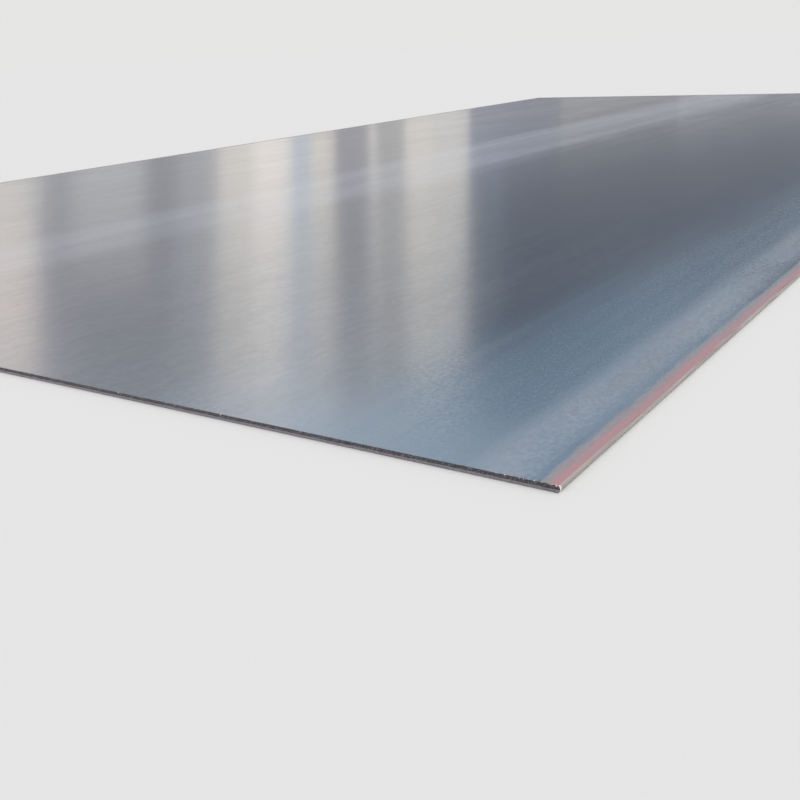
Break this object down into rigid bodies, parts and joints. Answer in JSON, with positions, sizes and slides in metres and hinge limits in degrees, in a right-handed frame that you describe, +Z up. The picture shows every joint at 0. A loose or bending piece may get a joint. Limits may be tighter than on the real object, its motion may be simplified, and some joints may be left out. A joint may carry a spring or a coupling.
{
  "type": "steel plate",
  "caption": "Flat rectangular hot-rolled steel plate with round-nosed mill edges along its length and sheared ends.",
  "frame": {"origin": "middle of the underside", "axes": "+X across the width, +Y along the length and the rolling direction, +Z up through the thickness"},
  "size_m": [1.25, 2.5, 0.003],
  "materials": {
    "mill_steel": "satin"
  },
  "bodies": {
    "root": {"steel_plate": "mill_steel"}
  },
  "joints": []
}
